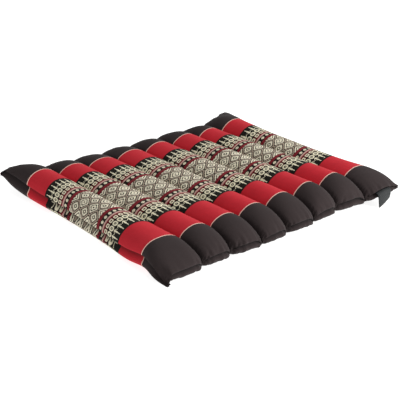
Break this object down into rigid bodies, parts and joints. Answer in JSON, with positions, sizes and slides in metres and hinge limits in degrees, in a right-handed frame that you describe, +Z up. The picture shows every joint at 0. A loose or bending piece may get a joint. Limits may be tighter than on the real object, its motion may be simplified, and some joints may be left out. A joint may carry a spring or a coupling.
{
  "type": "yoga cushion",
  "caption": "Flat rectangular floor cushion with parallel stuffed channels, a patterned and plain red cotton cover closed at both ends, and a small blank label in one end seam.",
  "frame": {"origin": "middle of the bounding box at its base, on the surface that the cushion lies on", "axes": "+X across the channels, +Y along them and away from the labelled end, +Z up"},
  "size_m": [0.5948, 0.5092, 0.0605],
  "materials": {
    "cotton_cover": "matt woven cotton: red, with bands of small cream and black figures across the middle",
    "woven_ribbon": "dark grey woven ribbon, slightly sheeny"
  },
  "bodies": {
    "root": {"cushion": "cotton_cover", "label": "woven_ribbon"}
  },
  "joints": []
}
